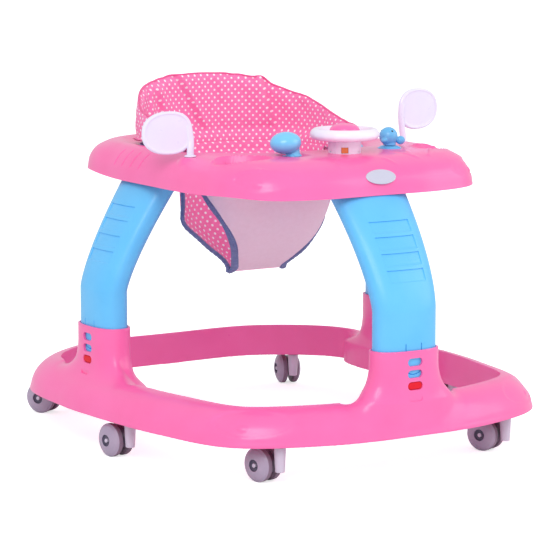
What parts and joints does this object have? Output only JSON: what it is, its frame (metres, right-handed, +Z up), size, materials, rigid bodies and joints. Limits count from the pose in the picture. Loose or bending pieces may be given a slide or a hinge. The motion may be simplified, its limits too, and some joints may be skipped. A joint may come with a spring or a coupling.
{
  "type": "baby walker",
  "caption": "Walking frame for a baby: a broad rounded ring base on twin-wheel casters, three bowed legs that slide in sockets to set the height, and a toy tray round a padded cloth sling seat.",
  "frame": {"origin": "on the floor, under the middle of the whole walker", "axes": "+X to the side, +Y to the rear of the walker, +Z up; the tray end faces -Y"},
  "size_m": [0.6268, 0.714, 0.52],
  "materials": {
    "shell": "smooth glossy plastic",
    "leg": "smooth glossy plastic",
    "button": "glossy plastic",
    "screw": "plated steel",
    "badge": "smooth plate",
    "hoop": "smooth plastic",
    "seat_fabric": "woven cloth, padded",
    "panel_fabric": "woven cloth",
    "binding": "folded tape",
    "toy_white": "glossy plastic",
    "orange": "glossy plastic",
    "toy_blue": "glossy plastic",
    "mirror_face": "polished",
    "caster": "smooth plastic",
    "axle": "steel",
    "wheel": "smooth plastic"
  },
  "bodies": {
    "base": {"base_ring": "shell"},
    "height_frame": {"leg_front": "leg", "leg_screw_front": "screw", "leg_left": "leg", "leg_screw_left": "screw", "leg_right": "leg", "leg_screw_right": "screw", "tray": "shell", "badge_plate": "badge", "seat_hoop": "hoop", "seat_backrest": "seat_fabric", "seat_front_panel": "panel_fabric", "seat_sling": "seat_fabric", "leg_binding_left": "binding", "leg_binding_right": "binding", "steering_column": "toy_white", "steering_insert": "orange", "knob_fork": "toy_white", "knob_pin": "screw", "animal_base": "toy_blue"},
    "latch_front": {"latch_tongue_front": "leg", "latch_button_front": "button"},
    "latch_left": {"latch_tongue_left": "leg", "latch_button_left": "button"},
    "latch_right": {"latch_tongue_right": "leg", "latch_button_right": "button"},
    "steering_wheel": {"steering_ring": "toy_white", "steering_cap": "shell", "steering_spindle": "screw"},
    "knob": {"knob_lever": "toy_blue"},
    "animal": {"animal_body": "toy_blue", "animal_spindle": "screw"},
    "mirror_left": {"mirror_frame_left": "toy_white", "mirror_plate_left": "mirror_face"},
    "mirror_right": {"mirror_frame_right": "toy_white", "mirror_plate_right": "mirror_face"},
    "caster_front_left": {"caster_body_front_left": "caster"},
    "wheels_front_left": {"caster_axle_front_left": "axle", "wheel_outer_front_left": "wheel", "wheel_inner_front_left": "wheel"},
    "caster_front_right": {"caster_body_front_right": "caster"},
    "wheels_front_right": {"caster_axle_front_right": "axle", "wheel_outer_front_right": "wheel", "wheel_inner_front_right": "wheel"},
    "caster_mid_left": {"caster_body_mid_left": "caster"},
    "wheels_mid_left": {"caster_axle_mid_left": "axle", "wheel_outer_mid_left": "wheel", "wheel_inner_mid_left": "wheel"},
    "caster_mid_right": {"caster_body_mid_right": "caster"},
    "wheels_mid_right": {"caster_axle_mid_right": "axle", "wheel_outer_mid_right": "wheel", "wheel_inner_mid_right": "wheel"},
    "caster_rear_left": {"caster_body_rear_left": "caster"},
    "wheels_rear_left": {"caster_axle_rear_left": "axle", "wheel_outer_rear_left": "wheel", "wheel_inner_rear_left": "wheel"},
    "caster_rear_right": {"caster_body_rear_right": "caster"},
    "wheels_rear_right": {"caster_axle_rear_right": "axle", "wheel_outer_rear_right": "wheel", "wheel_inner_rear_right": "wheel"}
  },
  "joints": [
    {"name": "height_adjust", "type": "slide", "parent": "base", "child": "height_frame", "axis": [0, 0, 1], "range_m": [0, 0.033]},
    {"name": "latch_press_front", "type": "hinge", "parent": "height_frame", "child": "latch_front", "pos_m": [0, -0.3457, 0.085], "axis": [-1, 0, 0], "range_deg": [0, 5], "stiffness_Nm_per_rad": 1},
    {"name": "latch_press_left", "type": "hinge", "parent": "height_frame", "child": "latch_left", "pos_m": [-0.2757, 0.075, 0.085], "axis": [0, 1, 0], "range_deg": [0, 5], "stiffness_Nm_per_rad": 1},
    {"name": "latch_press_right", "type": "hinge", "parent": "height_frame", "child": "latch_right", "pos_m": [0.2757, 0.075, 0.085], "axis": [0, -1, 0], "range_deg": [0, 5], "stiffness_Nm_per_rad": 1},
    {"name": "steering_turn", "type": "hinge", "parent": "height_frame", "child": "steering_wheel", "pos_m": [0, -0.175, 0.44], "axis": [0, 0, 1], "continuous": true},
    {"name": "knob_rock", "type": "hinge", "parent": "height_frame", "child": "knob", "pos_m": [-0.088, -0.16, 0.413], "axis": [0, 1, 0], "range_deg": [-8, 8]},
    {"name": "animal_turn", "type": "hinge", "parent": "height_frame", "child": "animal", "pos_m": [0.088, -0.16, 0.44], "axis": [0, 0, 1], "continuous": true},
    {"name": "mirror_swivel_left", "type": "hinge", "parent": "height_frame", "child": "mirror_left", "pos_m": [-0.185, -0.059, 0.43], "axis": [0, 0, 1], "range_deg": [-40, 40]},
    {"name": "mirror_swivel_right", "type": "hinge", "parent": "height_frame", "child": "mirror_right", "pos_m": [0.185, -0.059, 0.43], "axis": [0, 0, 1], "range_deg": [-40, 40]},
    {"name": "caster_swivel_front_left", "type": "hinge", "parent": "base", "child": "caster_front_left", "pos_m": [-0.192, -0.305, 0.07], "axis": [0, 0, 1], "continuous": true},
    {"name": "wheel_spin_front_left", "type": "hinge", "parent": "caster_front_left", "child": "wheels_front_left", "pos_m": [-0.19901, -0.27378, 0.024], "axis": [0.9757, 0.219, 0], "continuous": true},
    {"name": "caster_swivel_front_right", "type": "hinge", "parent": "base", "child": "caster_front_right", "pos_m": [0.192, -0.305, 0.07], "axis": [0, 0, 1], "continuous": true},
    {"name": "wheel_spin_front_right", "type": "hinge", "parent": "caster_front_right", "child": "wheels_front_right", "pos_m": [0.1799, -0.27538, 0.024], "axis": [0.9257, 0.3782, 0], "continuous": true},
    {"name": "caster_swivel_mid_left", "type": "hinge", "parent": "base", "child": "caster_mid_left", "pos_m": [-0.284, -0.055, 0.07], "axis": [0, 0, 1], "continuous": true},
    {"name": "wheel_spin_mid_left", "type": "hinge", "parent": "caster_mid_left", "child": "wheels_mid_left", "pos_m": [-0.28911, -0.02341, 0.024], "axis": [0.9872, 0.1595, 0], "continuous": true},
    {"name": "caster_swivel_mid_right", "type": "hinge", "parent": "base", "child": "caster_mid_right", "pos_m": [0.284, -0.055, 0.07], "axis": [0, 0, 1], "continuous": true},
    {"name": "wheel_spin_mid_right", "type": "hinge", "parent": "caster_mid_right", "child": "wheels_mid_right", "pos_m": [0.2776, -0.02365, 0.024], "axis": [0.9798, 0.2, 0], "continuous": true},
    {"name": "caster_swivel_rear_left", "type": "hinge", "parent": "base", "child": "caster_rear_left", "pos_m": [-0.212, 0.286, 0.07], "axis": [0, 0, 1], "continuous": true},
    {"name": "wheel_spin_rear_left", "type": "hinge", "parent": "caster_rear_left", "child": "wheels_rear_left", "pos_m": [-0.22808, 0.31366, 0.024], "axis": [0.8645, 0.5026, 0], "continuous": true},
    {"name": "caster_swivel_rear_right", "type": "hinge", "parent": "base", "child": "caster_rear_right", "pos_m": [0.212, 0.286, 0.07], "axis": [0, 0, 1], "continuous": true},
    {"name": "wheel_spin_rear_right", "type": "hinge", "parent": "caster_rear_right", "child": "wheels_rear_right", "pos_m": [0.22066, 0.31681, 0.024], "axis": [0.9627, -0.2707, 0], "continuous": true}
  ]
}
